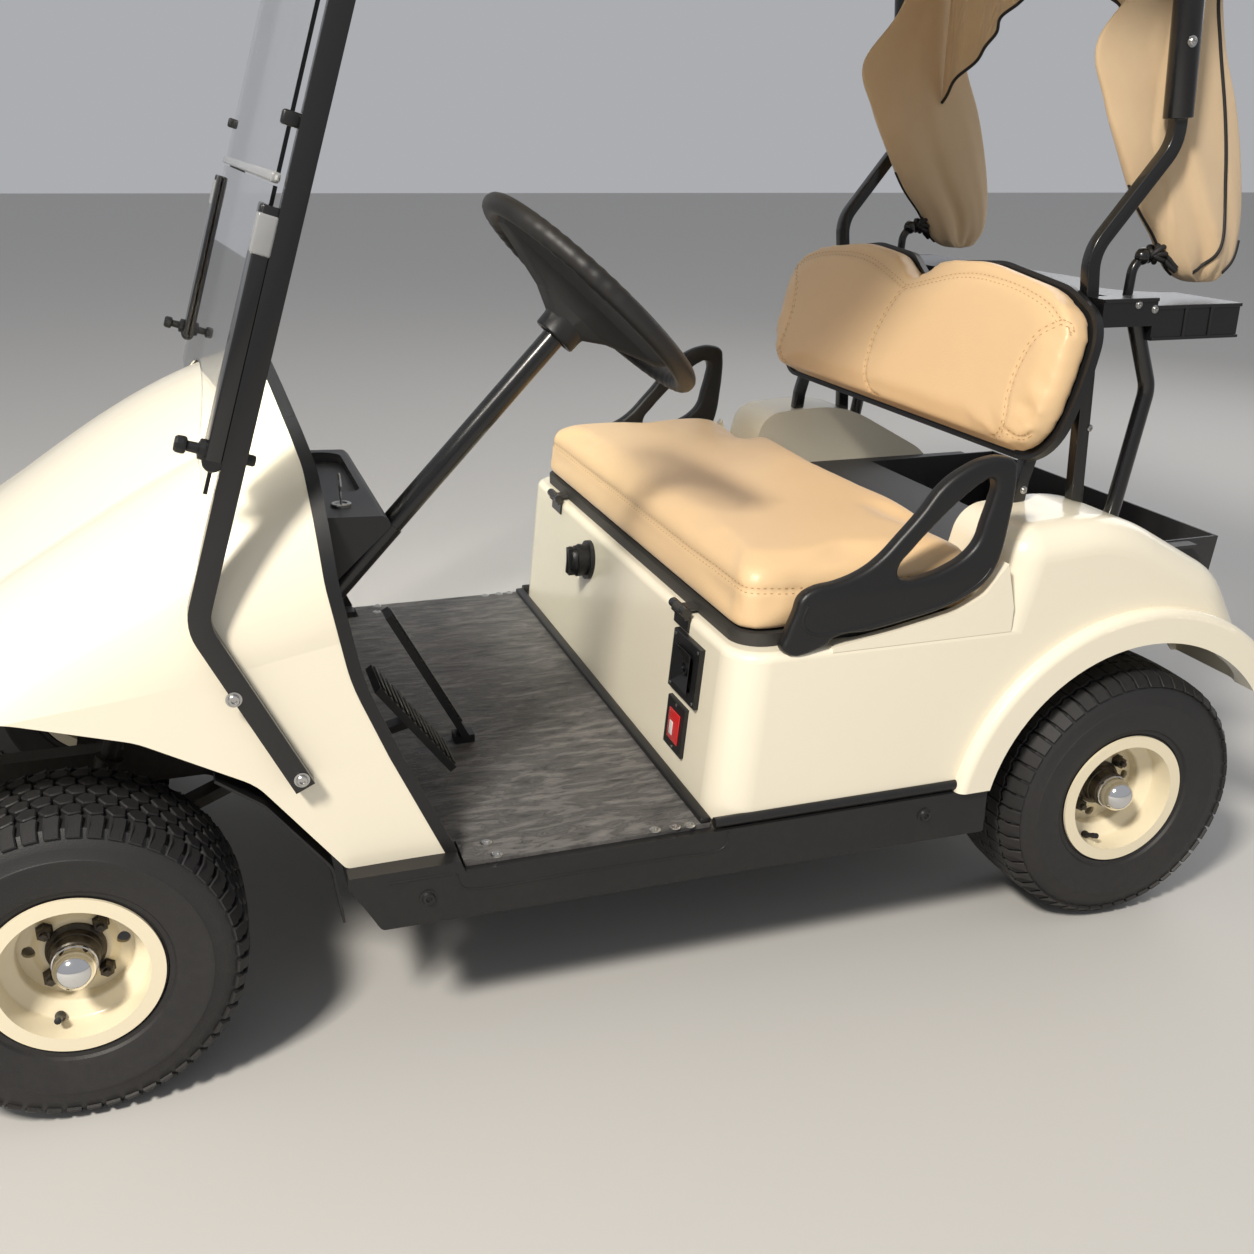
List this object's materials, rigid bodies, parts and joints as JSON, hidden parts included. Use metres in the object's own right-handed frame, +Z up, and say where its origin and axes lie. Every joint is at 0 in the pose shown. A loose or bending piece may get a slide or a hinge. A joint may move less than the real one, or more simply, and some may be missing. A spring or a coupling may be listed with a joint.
{
  "type": "two-seat electric golf cart",
  "caption": "Two-seat golf cart with moulded body, bench seat, roof, windshield, bag rack, steered front wheels and a tipping seat over the battery space.",
  "frame": {"origin": "on the ground, at the middle of the cart's length and width", "axes": "+X forward, +Y to the driver's side (left), +Z up"},
  "size_m": [2.365, 1.19, 1.7549],
  "materials": {
    "ivory_body": "smooth gloss ivory moulding",
    "black_plastic": "grained satin black moulding",
    "black_steel": "satin black powder coat",
    "grey_plastic": "dark grey grained moulding",
    "mat_rubber": "dark slate textured rubber",
    "seat_vinyl": "tan vinyl with stitched seams",
    "cover_canvas": "beige canvas",
    "clear_pane": "clear polycarbonate sheet",
    "tyre_rubber": "black tread rubber",
    "rim_paint": "ivory painted steel",
    "bare_steel": "machined steel",
    "cast_case": "painted castings",
    "pan_board": "black painted board",
    "battery_case": "battery cases"
  },
  "bodies": {
    "body": {"bag_cover_left": "cover_canvas", "bag_cover_right": "cover_canvas", "bag_cover_top": "cover_canvas", "bag_rack": "black_steel", "bag_well": "grey_plastic", "battery_pack": "battery_case", "chassis_frame": "black_steel", "cowl_trim": "black_plastic", "dash": "black_plastic", "direction_selector": "black_plastic", "floor_mat": "mat_rubber", "floor_pan": "black_steel", "front_axle": "black_steel", "front_bumper": "black_plastic", "front_cowl": "ivory_body", "front_struts": "black_steel", "hip_restraints": "black_plastic", "kick_panel_sockets": "black_plastic", "leaf_springs": "black_steel", "pedals": "black_steel", "rear_axle": "cast_case", "rear_body": "ivory_body", "rear_struts": "black_steel", "rocker_panels": "black_plastic", "roof": "ivory_body", "seat_back_frame": "black_steel", "seat_back_pad": "seat_vinyl", "seat_back_shell": "black_plastic", "seat_hinges": "black_steel", "shock_absorbers": "black_steel", "splash_panels": "black_plastic", "steering_column": "black_steel", "windshield": "clear_pane", "windshield_rails": "black_steel"},
    "steering_wheel": {"steering_wheel": "black_plastic"},
    "knuckle_left": {"knuckle_left": "bare_steel"},
    "knuckle_right": {"knuckle_right": "bare_steel"},
    "tie_rod": {"tie_rod": "bare_steel"},
    "seat": {"seat_cushion": "seat_vinyl", "seat_pan": "pan_board"},
    "wheel_front_left": {"tyre_front_left": "tyre_rubber", "rim_front_left": "rim_paint"},
    "wheel_front_right": {"tyre_front_right": "tyre_rubber", "rim_front_right": "rim_paint"},
    "wheel_rear_left": {"tyre_rear_left": "tyre_rubber", "rim_rear_left": "rim_paint"},
    "wheel_rear_right": {"tyre_rear_right": "tyre_rubber", "rim_rear_right": "rim_paint"}
  },
  "joints": [
    {"name": "steer_left", "type": "hinge", "parent": "body", "child": "knuckle_left", "pos_m": [0.8025, 0.35, 0.2285], "axis": [0, 0, 1], "range_deg": [-28, 28]},
    {"name": "steer_right", "type": "hinge", "parent": "body", "child": "knuckle_right", "pos_m": [0.8025, -0.35, 0.2285], "axis": [0, 0, 1], "range_deg": [-28, 28]},
    {"name": "tie_rod_pivot", "type": "hinge", "parent": "knuckle_left", "child": "tie_rod", "pos_m": [0.6925, 0.35, 0.184], "axis": [0, 0, 1], "range_deg": [-28, 28]},
    {"name": "steering_wheel_turn", "type": "hinge", "parent": "body", "child": "steering_wheel", "pos_m": [0, 0.285, 1.055], "axis": [-0.69, 0, 0.7238], "range_deg": [-252, 252]},
    {"name": "seat_lift", "type": "hinge", "parent": "body", "child": "seat", "pos_m": [-0.127, 0, 0.576], "axis": [0, 1, 0], "range_deg": [0, 60]},
    {"name": "wheel_front_left_spin", "type": "hinge", "parent": "knuckle_left", "child": "wheel_front_left", "pos_m": [0.8025, 0.481, 0.2285], "axis": [0, 1, 0], "continuous": true},
    {"name": "wheel_front_right_spin", "type": "hinge", "parent": "knuckle_right", "child": "wheel_front_right", "pos_m": [0.8025, -0.481, 0.2285], "axis": [0, 1, 0], "continuous": true},
    {"name": "wheel_rear_left_spin", "type": "hinge", "parent": "body", "child": "wheel_rear_left", "pos_m": [-0.8615, 0.487, 0.2285], "axis": [0, 1, 0], "continuous": true},
    {"name": "wheel_rear_right_spin", "type": "hinge", "parent": "body", "child": "wheel_rear_right", "pos_m": [-0.8615, -0.487, 0.2285], "axis": [0, 1, 0], "continuous": true}
  ],
  "couplings": [
    {"joint": "steer_right", "follows": "steer_left", "ratio": 1},
    {"joint": "tie_rod_pivot", "follows": "steer_left", "ratio": -1},
    {"joint": "steering_wheel_turn", "follows": "steer_left", "ratio": 9}
  ]
}
